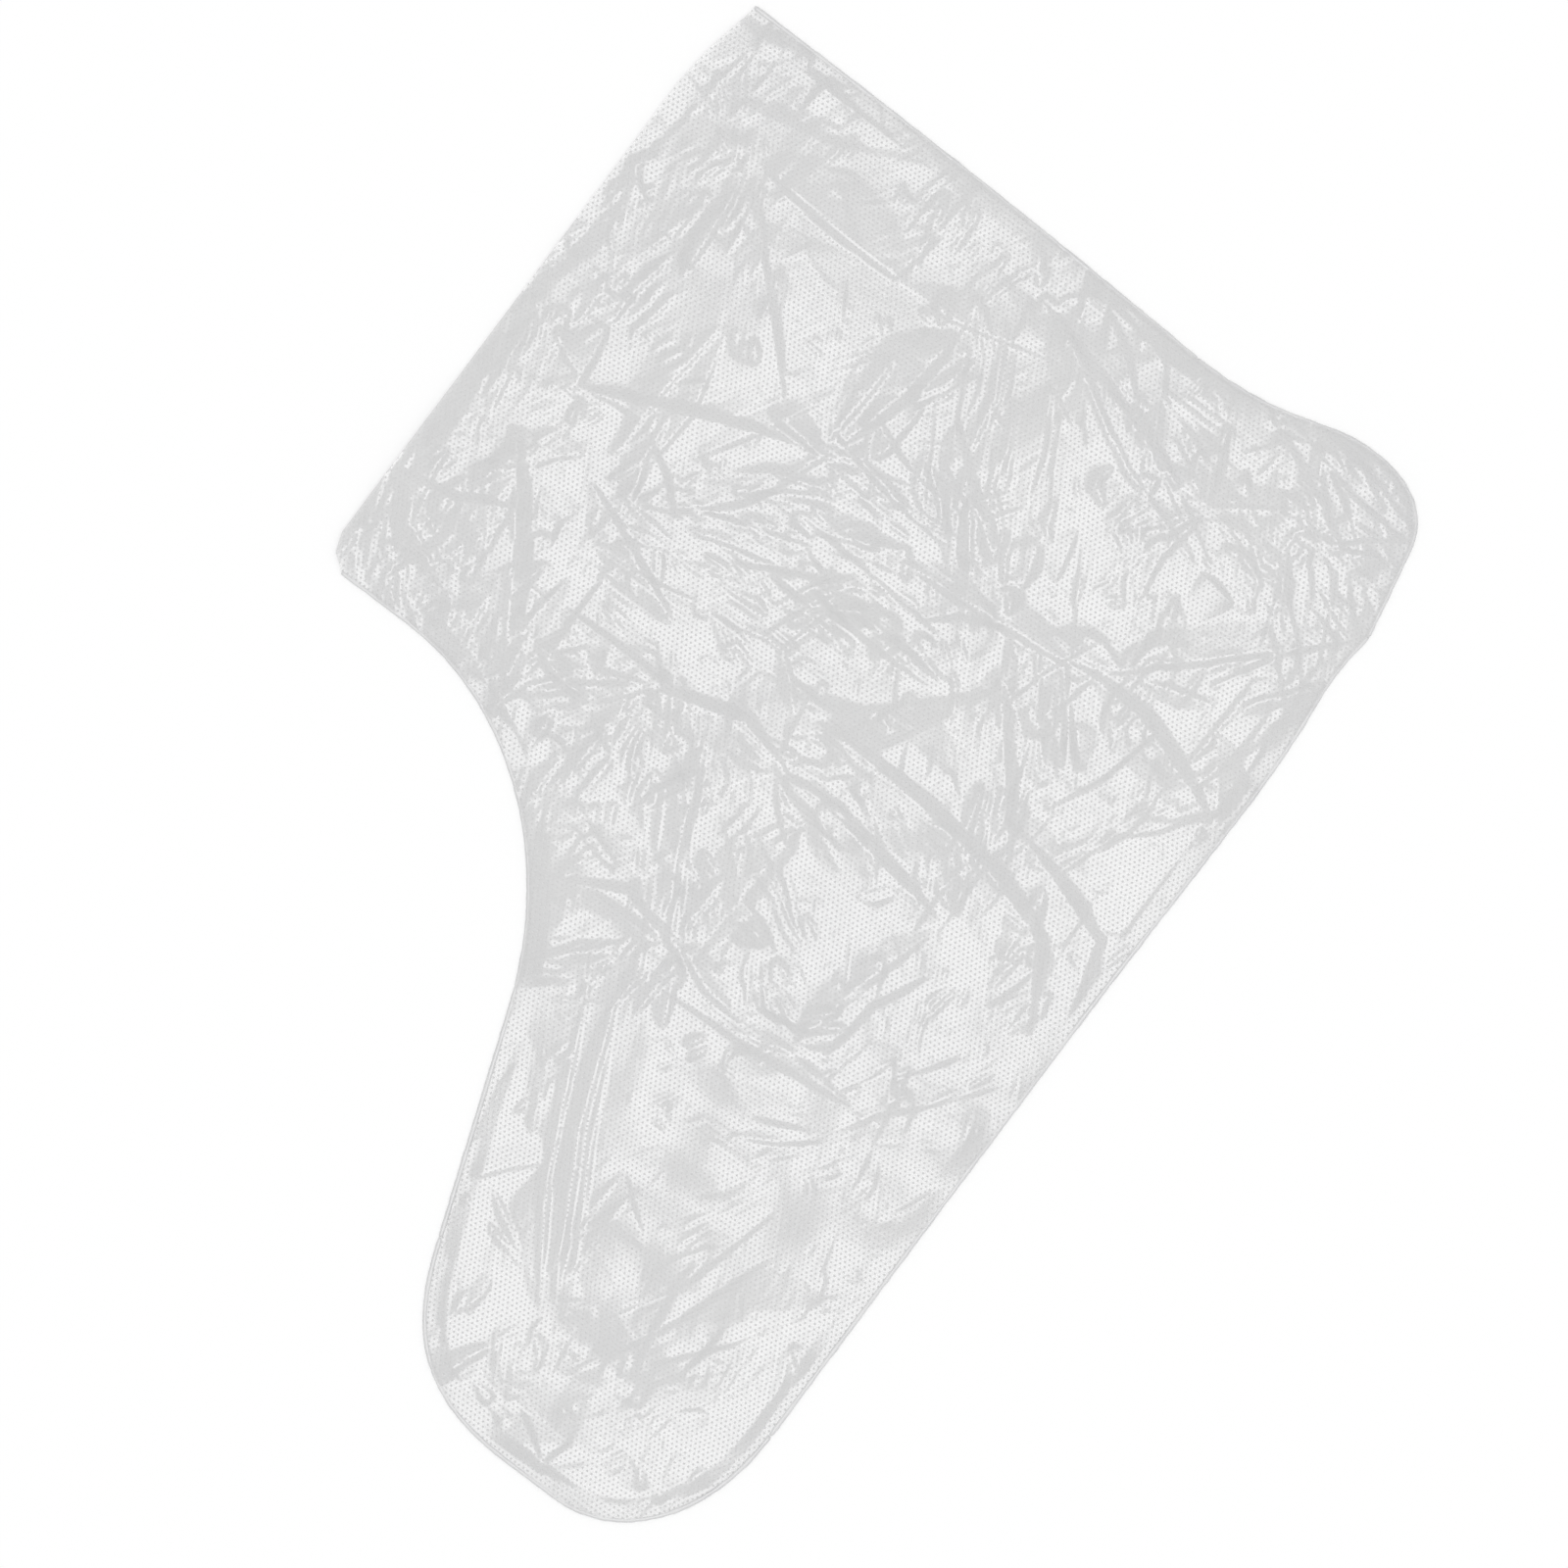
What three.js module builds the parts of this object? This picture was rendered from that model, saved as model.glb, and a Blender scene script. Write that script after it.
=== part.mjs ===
// Disposable film foot cover: two boot-shaped films, one on the other, welded together all along the
// edge and open at the mouth. It lies flat on its side, as it comes out of the pack and before a foot
// goes in, and the near film stands a little clear of the far one.
// Millimetres. +X runs from toe to heel, +Y from sole to mouth, +Z up off the surface it lies on.
// The origin is the middle of the outline, on that surface.

import * as THREE from 'three';

// Overall sizes, flat
const FOOT_LENGTH = 340;
const LEG_HEIGHT = 227.5;
const MOUTH_WIDTH = 180;

// Film and weld
const FILM_THICKNESS = 0.2;
const WELD_WIDTH = 1.2;
const CLEARANCE = 0.3;
const PUFF_HEIGHT = 11;
const PUFF_RUN_AT_TOE = 55;

// Toe
const TOE_DEPTH = 100;
const TOE_TOP_RUN = 36;
const TOE_TIP_HEIGHT = 44;
const TOE_TIP_FLAT = 8;
const TOE_SOLE_RUN = 46;

// Sole, measured from the heel and up from the lowest point of the edge
const SOLE_LIFT = 1;
const SOLE_BULGE_FROM_HEEL = 86;
const SOLE_NOTCH_FROM_HEEL = 54;
const SOLE_NOTCH_LIFT = 2;
const RAMP_FROM_HEEL = 39;
const RAMP_END_FROM_HEEL = 15;
const RAMP_END_LIFT = 5.8;

// Heel and back of the leg
const HEEL_POINT_HEIGHT = 28.5;
const WAIST_HEIGHT = 79;
const WAIST_SET_IN = 7.8;
const LEG_SET_IN = 3.5;
const LEG_BOW = 0.9;
const BACK_CORNER_DROP = 4;
const BACK_CORNER_RUN = 20;

// Instep and front of the leg
const INSTEP_HEIGHT = 121;
const FRONT_STRAIGHT = 27.5;
const FRONT_CORNER_RADIUS = 6;

// How finely the curves are stepped
const CURVE_STEPS = 16;
const FOOT_SECTIONS = 16;
const ANKLE_SECTIONS = 28;
const LEG_SECTIONS = 12;
const POINTS_ACROSS = 16;

const soleY = -LEG_HEIGHT / 2;
const mouthY = LEG_HEIGHT / 2;
const heelX = FOOT_LENGTH / 2;
const toeX = -FOOT_LENGTH / 2;
const legBackX = heelX - LEG_SET_IN;
const legFrontX = legBackX - MOUTH_WIDTH;
const weldHeight = 2 * FILM_THICKNESS + CLEARANCE;
const filmInset = WELD_WIDTH + CLEARANCE;

const at = (x, y) => new THREE.Vector2(x, y);

/** A smooth bend from a, leaving along the direction out, to b, arriving along the direction into. */
function bend(a, out, outReach, b, into, inReach) {
  const leave = a.clone().addScaledVector(out, outReach);
  const arrive = b.clone().addScaledVector(into, -inReach);
  return new THREE.CubicBezierCurve(a, leave, arrive, b).getPoints(CURVE_STEPS);
}

function straight(a, b, steps = 6) {
  return new THREE.LineCurve(a, b).getPoints(steps);
}

/** Joins runs of points end to end, keeping each shared end once. */
function chain(...runs) {
  return runs.reduce((all, run) => all.concat(all.length ? run.slice(1) : run), []);
}

const UP = at(0, 1);
const DOWN = at(0, -1);
const TOWARDS_HEEL = at(1, 0);

// The welded edge, as the five stretches that a hand would name, from the front of the mouth round
// the toe and heel to the back of the mouth.
function edgeStretches() {
  const frontCorner = at(legFrontX, mouthY - FRONT_CORNER_RADIUS);
  const ankle = at(legFrontX, mouthY - FRONT_STRAIGHT);
  const toeTop = at(toeX + TOE_TOP_RUN, soleY + TOE_DEPTH);
  const instepStart = at((toeTop.x + legFrontX) / 2 - 2, soleY + INSTEP_HEIGHT);
  const downInstep = toeTop.clone().sub(instepStart).normalize();
  const instepRun = ankle.x - instepStart.x;
  const instepRise = ankle.y - instepStart.y;
  const toeTip = at(toeX, soleY + TOE_TIP_HEIGHT + TOE_TIP_FLAT);
  const toeTipEnd = at(toeX, soleY + TOE_TIP_HEIGHT - TOE_TIP_FLAT);
  const soleStart = at(toeX + TOE_SOLE_RUN, soleY + SOLE_LIFT);
  const rampStart = at(heelX - RAMP_FROM_HEEL, soleY + SOLE_LIFT);
  const rampEnd = at(heelX - RAMP_END_FROM_HEEL, soleY + RAMP_END_LIFT);
  const alongRamp = rampEnd.clone().sub(rampStart).normalize();
  const heelPoint = at(heelX, soleY + HEEL_POINT_HEIGHT);
  const waist = at(heelX - WAIST_SET_IN, soleY + WAIST_HEIGHT);
  const backCorner = at(legBackX, mouthY - BACK_CORNER_DROP);
  const upLeg = backCorner.clone().sub(waist).normalize();
  const legMiddle = waist.clone().lerp(backCorner, 0.5);
  const legBow = at(legMiddle.x + 2 * LEG_BOW, legMiddle.y);
  const legBack = new THREE.QuadraticBezierCurve(waist, legBow, backCorner);
  const soleLine = new THREE.SplineCurve([
    soleStart,
    at((soleStart.x + rampStart.x) / 2, soleY + SOLE_LIFT),
    at(heelX - SOLE_BULGE_FROM_HEEL, soleY),
    at(heelX - SOLE_NOTCH_FROM_HEEL, soleY + SOLE_NOTCH_LIFT),
    rampStart,
  ]);
  return {
    instep_weld: chain(
      straight(frontCorner, ankle),
      bend(ankle, DOWN, instepRise * 0.4, instepStart, downInstep, instepRun * 0.66),
      straight(instepStart, toeTop),
    ),
    toe_weld: chain(
      bend(toeTop, downInstep, TOE_TOP_RUN * 0.52, toeTip, DOWN, TOE_DEPTH * 0.33),
      straight(toeTip, toeTipEnd, 2),
      bend(toeTipEnd, DOWN, TOE_TIP_HEIGHT * 0.42, soleStart, TOWARDS_HEEL, TOE_SOLE_RUN * 0.62),
    ),
    sole_weld: soleLine.getPoints(3 * CURVE_STEPS),
    heel_weld: chain(
      straight(rampStart, rampEnd, 3),
      bend(rampEnd, alongRamp, RAMP_END_FROM_HEEL * 0.66, heelPoint, UP, HEEL_POINT_HEIGHT * 0.42),
      bend(heelPoint, UP, HEEL_POINT_HEIGHT * 0.56, waist, upLeg, WAIST_HEIGHT * 0.36),
    ),
    back_weld: legBack.getPoints(12),
  };
}

/** The direction of travel at each point of a run. */
function directions(points) {
  return points.map((point, i) => {
    const before = points[Math.max(i - 1, 0)];
    const after = points[Math.min(i + 1, points.length - 1)];
    return after.clone().sub(before).normalize();
  });
}

/** The points moved sideways off a run, to the left of its direction of travel. */
function offset(points, distance) {
  const along = directions(points);
  return points.map((p, i) => at(p.x - along[i].y * distance, p.y + along[i].x * distance));
}

/** A run stepped again into a given number of equal lengths. */
function evenly(points, count) {
  const path = new THREE.CurvePath();
  for (let i = 1; i < points.length; i += 1) {
    path.add(new THREE.LineCurve(points[i - 1], points[i]));
  }
  return path.getSpacedPoints(count);
}

function extruded(points, height, z) {
  const geometry = new THREE.ExtrudeGeometry(new THREE.Shape(points), {
    depth: height,
    bevelEnabled: false,
  });
  geometry.translate(0, 0, z);
  return geometry;
}

/**
 * The weld as a flat bead along the whole edge, as high as the two films that it joins, and cut
 * square across into its stretches. Each one's ends are drawn in, to stand clear of the next.
 */
function weldBeads(stretches) {
  const outer = chain(...Object.values(stretches));
  const inner = offset(outer, WELD_WIDTH);
  const along = directions(outer);
  const beads = {};
  let start = 0;
  for (const [name, run] of Object.entries(stretches)) {
    const first = start;
    const last = first + run.length - 1;
    const drawnIn = (side) => {
      const points = side.slice(first, last + 1).map((p) => p.clone());
      points[0].addScaledVector(along[first], CLEARANCE / 2);
      points[points.length - 1].addScaledVector(along[last], -CLEARANCE / 2);
      return points;
    };
    beads[name] = extruded([...drawnIn(outer), ...drawnIn(inner).reverse()], weldHeight, 0);
    start = last;
  }
  return beads;
}

// The film's two rails both start at the tip of the toe. One runs over the instep to the front of
// the mouth, the other along the sole and round the heel to the back of the mouth. Matching pieces
// of the two are the stages of the film: foot, ankle and leg.
function filmStages(stretches) {
  const toe = stretches.toe_weld;
  const tip = toe.findIndex((p) => p.y <= soleY + TOE_TIP_HEIGHT);
  const front = offset(chain(stretches.instep_weld, toe.slice(0, tip)), filmInset).reverse();
  const back = offset(
    chain(toe.slice(tip), stretches.sole_weld, stretches.heel_weld, stretches.back_weld),
    filmInset,
  );
  const soleTurn = back.findIndex((p) => p.x > legFrontX);
  const heelTurn = back.findIndex((p) => p.y >= soleY + WAIST_HEIGHT);
  const instepTurn = front.findIndex((p) => p.y >= soleY + INSTEP_HEIGHT);
  const ankleTurn = front.findIndex((p) => p.y >= mouthY - FRONT_STRAIGHT - CLEARANCE);
  const stage = (sections, frontFrom, frontTo, backFrom, backTo) => ({
    front: evenly(front.slice(frontFrom, frontTo + 1), sections),
    back: evenly(back.slice(backFrom, backTo + 1), sections),
  });
  return [
    stage(FOOT_SECTIONS, 0, instepTurn, 0, soleTurn),
    stage(ANKLE_SECTIONS, instepTurn, ankleTurn, soleTurn, heelTurn),
    stage(LEG_SECTIONS, ankleTurn, front.length - 1, heelTurn, back.length - 1),
  ];
}

/** The free edge at the mouth, at a share of the way from its front to its back corner. */
function mouthEdge(front, back, share) {
  const x = THREE.MathUtils.lerp(front.x, back.x, share);
  const frontReach = Math.min((x - front.x) / FRONT_CORNER_RADIUS, 1);
  const frontDrop = FRONT_CORNER_RADIUS * (1 - Math.sqrt(1 - (1 - frontReach) ** 2));
  const backReach = Math.min((back.x - x) / BACK_CORNER_RUN, 1);
  return at(x, mouthY - frontDrop - BACK_CORNER_DROP * (1 - backReach));
}

/** How full the pouch is, from 0 at a welded edge to 1, where edgeShare is 0 at the edge. */
function fullness(edgeShare) {
  const inwards = 1 - THREE.MathUtils.clamp(edgeShare, 0, 1);
  return (1 - inwards ** 2.4) ** 0.6;
}

/** Rows of points across the film, from the toe to the mouth, each with its share of the puff. */
function filmRows(stages) {
  const rails = { front: [], back: [] };
  stages.forEach((stage, i) => {
    rails.front.push(...stage.front.slice(i ? 1 : 0));
    rails.back.push(...stage.back.slice(i ? 1 : 0));
  });
  const last = rails.front.length - 1;
  const mouthFrom = last - LEG_SECTIONS;
  const tipX = (rails.front[0].x + rails.back[0].x) / 2;
  return rails.front.map((front, row) => {
    const back = rails.back[row];
    const mouthShare = Math.max((row - mouthFrom) / LEG_SECTIONS, 0) ** 3;
    const points = [];
    for (let k = 0; k <= POINTS_ACROSS; k += 1) {
      const share = (1 - Math.cos((Math.PI * k) / POINTS_ACROSS)) / 2;
      const point = front.clone().lerp(back, share);
      const chord = rails.front[last].clone().lerp(rails.back[last], share);
      const edge = mouthEdge(rails.front[last], rails.back[last], share);
      point.y += (edge.y - chord.y) * mouthShare;
      const across = fullness(Math.min(share, 1 - share) * 2);
      const along = fullness((point.x - tipX) / PUFF_RUN_AT_TOE);
      points.push({ x: point.x, y: point.y, full: across * along });
    }
    return points;
  });
}

/** A film as a closed thin shell: its two faces and the wall round its rim. */
function filmShell(rows, zAtRim, puff) {
  const rowLength = rows[0].length;
  const faceCount = rows.length * rowLength;
  const positions = [];
  for (const lift of [FILM_THICKNESS, 0]) {
    for (const { x, y, full } of rows.flat()) {
      positions.push(x, y, zAtRim + puff * full + lift);
    }
  }
  const indices = [];
  const quad = (a, b, c, d) => indices.push(a, b, c, a, c, d);
  for (let r = 0; r + 1 < rows.length; r += 1) {
    for (let k = 0; k + 1 < rowLength; k += 1) {
      const a = r * rowLength + k;
      const b = a + 1;
      const c = b + rowLength;
      const d = a + rowLength;
      quad(a, b, c, d);
      quad(faceCount + a, faceCount + d, faceCount + c, faceCount + b);
    }
  }
  const rim = [];
  for (let k = 0; k < rowLength - 1; k += 1) rim.push(k);
  for (let r = 0; r < rows.length - 1; r += 1) rim.push(r * rowLength + rowLength - 1);
  for (let k = rowLength - 1; k > 0; k -= 1) rim.push((rows.length - 1) * rowLength + k);
  for (let r = rows.length - 1; r > 0; r -= 1) rim.push(r * rowLength);
  rim.forEach((a, i) => {
    const b = rim[(i + 1) % rim.length];
    quad(b, a, faceCount + a, faceCount + b);
  });
  const geometry = new THREE.BufferGeometry();
  geometry.setAttribute('position', new THREE.Float32BufferAttribute(positions, 3));
  geometry.setIndex(indices);
  return geometry;
}

/** The far film's outline, once round. */
function filmOutline(rows) {
  const last = rows.length - 1;
  const end = rows[0].length - 1;
  const corner = (p) => at(p.x, p.y);
  return [
    ...rows[0].slice(0, -1).map(corner),
    ...rows.slice(0, -1).map((row) => corner(row[end])),
    ...rows[last].slice(1).reverse().map(corner),
    ...rows.slice(1).reverse().map((row) => corner(row[0])),
  ];
}

const filmMaterial = new THREE.MeshStandardMaterial({
  color: 0xe4e5e6,
  roughness: 0.38,
  metalness: 0,
  transparent: true,
  opacity: 0.55,
});
const weldMaterial = new THREE.MeshStandardMaterial({
  color: 0xd6d7d8,
  roughness: 0.3,
  metalness: 0,
  transparent: true,
  opacity: 0.75,
});

function piece(name, geometry, material) {
  const mesh = new THREE.Mesh(geometry, material);
  mesh.name = name;
  return mesh;
}

const stretches = edgeStretches();
const rows = filmRows(filmStages(stretches));
const footCover = new THREE.Group();
footCover.add(piece('far_film', extruded(filmOutline(rows), FILM_THICKNESS, 0), filmMaterial.clone()));
const nearFilm = filmShell(rows, FILM_THICKNESS + CLEARANCE, PUFF_HEIGHT);
footCover.add(piece('near_film', nearFilm, filmMaterial.clone()));
for (const [name, bead] of Object.entries(weldBeads(stretches))) {
  footCover.add(piece(name, bead, weldMaterial.clone()));
}

export default footCover;
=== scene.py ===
"""The looks of a disposable film foot cover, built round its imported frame.

Two boot-shaped films of thin embossed polyethylene lie one on the other, crumpled from the
pack, and are welded together along the edge. Everything is placed from the frame's own nodes,
in metres. Lengths inside the film's classes are millimetres, which suits a thing this thin, and
MM turns them into metres where a mesh is made.
"""

import logging
import math
from dataclasses import dataclass, field
from enum import Enum
from typing import ClassVar

import bpy
import bmesh
import numpy as np
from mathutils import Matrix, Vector
from mathutils.geometry import delaunay_2d_cdt


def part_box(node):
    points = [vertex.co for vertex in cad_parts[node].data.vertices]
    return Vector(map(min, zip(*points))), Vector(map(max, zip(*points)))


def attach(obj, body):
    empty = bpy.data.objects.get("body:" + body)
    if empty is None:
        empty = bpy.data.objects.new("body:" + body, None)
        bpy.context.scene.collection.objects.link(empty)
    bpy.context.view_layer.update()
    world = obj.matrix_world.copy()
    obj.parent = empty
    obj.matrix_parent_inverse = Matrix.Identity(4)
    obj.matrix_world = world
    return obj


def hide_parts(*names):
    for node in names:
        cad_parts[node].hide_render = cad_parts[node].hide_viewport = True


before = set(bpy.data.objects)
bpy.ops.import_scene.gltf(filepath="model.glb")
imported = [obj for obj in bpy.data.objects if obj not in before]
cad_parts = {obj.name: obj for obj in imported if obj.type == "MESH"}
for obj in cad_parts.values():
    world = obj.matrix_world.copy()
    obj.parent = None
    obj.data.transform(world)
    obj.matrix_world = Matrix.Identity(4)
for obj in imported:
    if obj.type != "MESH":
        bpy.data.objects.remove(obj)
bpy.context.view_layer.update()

MM = 0.001
BODY = "root"
WELD_NODES = ("instep_weld", "toe_weld", "sole_weld", "heel_weld", "back_weld")
FILM_SEED = 44
BEAD_SEED = 7
PLASTIC_IOR = 1.52

Colour = tuple[float, float, float]
Socket = bpy.types.NodeSocket
Given = float | Socket

log = logging.getLogger("foot_cover")


class Side(Enum):
    """Which of the two films a sheet is."""

    FAR = "far_film"
    NEAR = "near_film"


# ---------------------------------------------------------------------------------------------
# The outline, read from the frame
# ---------------------------------------------------------------------------------------------


def base_loop(node: str) -> np.ndarray:
    """The corners of a flat node's underside, once round.

    Args:
        node: the name of a CAD node whose underside is one flat face.

    Returns:
        The corners in order, in millimetres, as rows of x and y.
    """
    mesh = bmesh.new()
    mesh.from_mesh(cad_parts[node].data)
    bmesh.ops.remove_doubles(mesh, verts=mesh.verts, dist=1e-6)
    under = {f for f in mesh.faces if f.normal.z < -0.9}
    steps = {}
    for face in under:
        for loop in face.loops:
            others = [f for f in loop.edge.link_faces if f is not face]
            if not any(f in under for f in others):
                steps[loop.vert.index] = loop.link_loop_next.vert.index
    start = min(steps)
    order = [start]
    while steps[order[-1]] != start:
        order.append(steps[order[-1]])
    mesh.verts.ensure_lookup_table()
    corners = np.array([mesh.verts[i].co.xy for i in order]) / MM
    mesh.free()
    return corners


def resampled(run: np.ndarray, spacing: float) -> np.ndarray:
    """A run of points stepped again at an even spacing.

    Args:
        run: the points of an open run.
        spacing: the length of a step, about.

    Returns:
        The new points, which keep the run's ends.
    """
    lengths = np.hypot(*np.diff(run, axis=0).T)
    along = np.concatenate([[0.0], np.cumsum(lengths)])
    count = max(int(round(along[-1] / spacing)), 1)
    stations = np.linspace(0.0, along[-1], count + 1)
    return np.stack([np.interp(stations, along, run[:, k]) for k in (0, 1)], axis=1)


def directions(run: np.ndarray) -> np.ndarray:
    """The unit direction of travel at each point of a run."""
    steps = np.gradient(run, axis=0)
    return steps / np.hypot(*steps.T)[:, None]


def shifted_left(run: np.ndarray, distance: float) -> np.ndarray:
    """A run moved sideways, to the left of its direction of travel."""
    along = directions(run)
    return run + distance * np.stack([-along[:, 1], along[:, 0]], axis=1)


@dataclass
class Outline:
    """The cover's outline, in millimetres, with the film always on the left of the way round.

    Attributes:
        spacing: how far apart the outline's points stand.
        runs: each weld node's outer edge, from the front of the mouth to the back.
        mouth: the free edge, from the back of the mouth to the front.
        weld_width: how wide the weld is.
    """

    spacing: float = 0.5
    runs: dict[str, np.ndarray] = field(default_factory=dict)
    mouth: np.ndarray | None = None
    weld_width: float = 0.0

    def __post_init__(self) -> None:
        """Reads the runs from the weld nodes and the free edge from the far film."""
        rim = base_loop(Side.FAR.value)[::-1]
        rim = np.vstack([rim, rim[:1]])
        for node in WELD_NODES:
            self.runs[node] = self.outer_run(node, rim)
        front, back = self.runs[WELD_NODES[0]][0], self.runs[WELD_NODES[-1]][-1]
        low = min(front[1], back[1])
        free = rim[rim[:, 1] > low - self.weld_width / 2]
        free = free[np.argsort(-free[:, 0])]
        self.mouth = resampled(np.vstack([back, free[1:-1], front]), self.spacing)

    def outer_run(self, node: str, rim: np.ndarray) -> np.ndarray:
        """A weld node's outer edge.

        Args:
            node: the weld node.
            rim: the far film's rim, which the inner edge lies next to.

        Returns:
            The edge's points, at the outline's spacing, in the direction of travel.
        """
        loop = base_loop(node)[::-1]
        before, after = loop - np.roll(loop, 1, axis=0), np.roll(loop, -1, axis=0) - loop
        turn = np.arctan2(
            before[:, 0] * after[:, 1] - before[:, 1] * after[:, 0], (before * after).sum(axis=1)
        )
        corners = np.sort(np.argsort(-np.abs(turn))[:4])
        loop = np.roll(loop, -corners[0], axis=0)
        corners = corners - corners[0]
        if corners[1] == 1:
            loop = np.roll(loop, -1, axis=0)
            corners = np.array([0, corners[2] - 1, corners[3] - 1, len(loop) - 1])
        first, second = loop[: corners[1] + 1], loop[corners[2] : corners[3] + 1]
        self.weld_width = float(np.hypot(*(first[-1] - second[0])))
        clear = [distance_to(run, rim)[0].mean() for run in (first, second)]
        outer = resampled(first if clear[0] > clear[1] else second, self.spacing)
        middle = len(outer) // 2
        along = directions(outer)[middle]
        inward = distance_to(outer[[middle]], rim)[1][0] - outer[middle]
        if along[0] * inward[1] - along[1] * inward[0] < 0:
            outer = outer[::-1]
        return outer

    def welded(self) -> np.ndarray:
        """The whole welded edge, from the front of the mouth to the back."""
        return np.vstack([self.runs[node] for node in WELD_NODES])

    def film_edge(self, inset: float) -> np.ndarray:
        """The films' closed edge, drawn in along the weld and full along the mouth.

        Args:
            inset: how far inside the weld's outer edge the films stop, in millimetres.

        Returns:
            The edge's points, once round.
        """
        welded = shifted_left(resampled(self.welded(), self.spacing), inset)
        mouth = self.mouth.copy()
        reach = np.interp(mouth[:, 0], [mouth[-1, 0], mouth[0, 0]], [inset, -inset])
        mouth[:, 0] += reach
        return np.vstack([welded, mouth])


def distance_to(points: np.ndarray, run: np.ndarray) -> tuple[np.ndarray, np.ndarray]:
    """How far points are from an open run, and where on it they are nearest.

    Args:
        points: rows of x and y.
        run: the points of the run.

    Returns:
        The distance of each point, and the nearest point of the run to each.
    """
    best = np.full(len(points), np.inf)
    nearest = np.zeros_like(points)
    for start, end in zip(run[:-1], run[1:]):
        step = end - start
        share = np.clip((points - start) @ step / (step @ step), 0.0, 1.0)
        foot = start + share[:, None] * step
        gap = ((points - foot) ** 2).sum(axis=1)
        closer = gap < best
        best[closer] = gap[closer]
        nearest[closer] = foot[closer]
    return np.sqrt(best), nearest


def inside(points: np.ndarray, ring: np.ndarray) -> np.ndarray:
    """Whether each point lies inside a closed ring of points.

    Args:
        points: rows of x and y.
        ring: the ring's points, once round.

    Returns:
        A yes or no for each point.
    """
    crossings = np.zeros(len(points), bool)
    for start, end in zip(ring, np.roll(ring, -1, axis=0)):
        spans = (start[1] > points[:, 1]) != (end[1] > points[:, 1])
        if start[1] == end[1]:
            continue
        at_x = start[0] + (points[:, 1] - start[1]) * (end[0] - start[0]) / (end[1] - start[1])
        crossings ^= spans & (points[:, 0] < at_x)
    return crossings


# ---------------------------------------------------------------------------------------------
# Crumpling
# ---------------------------------------------------------------------------------------------


@dataclass(frozen=True)
class Crease:
    """A crease that lifts the film steeply on one side of its line and gently on the other.

    Attributes:
        path: its points, in millimetres, in the order that puts the gentle side on the left.
        rise: the height of its crest, or its depth if it is a valley.
        steep: how wide the steep side is.
        gentle: how wide the gentle side is.
        point: how soon the crease narrows towards its ends, from 0 for blunt to 1 for sharp.
    """

    path: tuple[tuple[float, float], ...]
    rise: float
    steep: float
    gentle: float
    point: float = 0.7


@dataclass(frozen=True)
class Facets:
    """Random flat facets that meet in straight creases, as a crumpled sheet's do.

    Attributes:
        cell: how far apart the facets' corners are, in millimetres.
        rise: how far the corners stand up or down.
        heading: the way that the facets are drawn out, in degrees.
        stretch: how much longer than wide they are.
        stray: how far a corner strays from an even array, as a share of a cell.
    """

    cell: float
    rise: float
    heading: float
    stretch: float = 1.0
    stray: ClassVar[float] = 0.42

    def heights(self, grid: "CrumpleField", draw: np.random.Generator) -> np.ndarray:
        """The facets' heights at the grid's places.

        Args:
            grid: the field that asks.
            draw: where the corners' places and heights come from.

        Returns:
            An array of the grid's shape.
        """
        turn = math.radians(self.heading)
        along = (grid.x * math.cos(turn) + grid.y * math.sin(turn)) / self.stretch / self.cell
        across = (grid.y * math.cos(turn) - grid.x * math.sin(turn)) / self.cell
        first = np.floor([along.min(), across.min()]) - 1
        last = np.ceil([along.max(), across.max()]) + 1
        u, v = np.meshgrid(*(np.arange(first[k], last[k] + 1) for k in (0, 1)), indexing="ij")
        corners = np.stack([u.ravel(), v.ravel()], axis=1)
        corners += draw.uniform(-self.stray, self.stray, corners.shape)
        stand = draw.normal(0.0, self.rise, len(corners))
        places, _, triangles, *_ = delaunay_2d_cdt([Vector(c) for c in corners], [], [], 0, 1e-9)
        places = np.array([tuple(p) for p in places])
        out = np.zeros(grid.x.shape)
        for a, b, c in triangles:
            ring = places[[a, b, c]]
            part = grid.window(self.turned_back(ring), 0.0)
            s, t = along[part], across[part]
            if s.size == 0:
                continue
            (ax, ay), (bx, by), (cx, cy) = ring
            whole = (bx - ax) * (cy - ay) - (cx - ax) * (by - ay)
            if abs(whole) < 1e-9:
                continue
            at_b = ((s - ax) * (cy - ay) - (cx - ax) * (t - ay)) / whole
            at_c = ((bx - ax) * (t - ay) - (s - ax) * (by - ay)) / whole
            at_a = 1 - at_b - at_c
            held = (at_a >= 0) & (at_b >= 0) & (at_c >= 0)
            value = at_a * stand[a] + at_b * stand[b] + at_c * stand[c]
            out[part] = np.where(held, value, out[part])
        return out

    def turned_back(self, corners: np.ndarray) -> np.ndarray:
        """Turns corners counted in cells back into places.

        Args:
            corners: rows of how many cells along and across each corner is.

        Returns:
            The places, in millimetres.
        """
        turn = math.radians(self.heading)
        x = corners[:, 0] * self.stretch * math.cos(turn) - corners[:, 1] * math.sin(turn)
        y = corners[:, 0] * self.stretch * math.sin(turn) + corners[:, 1] * math.cos(turn)
        return np.stack([x, y], axis=1) * self.cell


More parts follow.
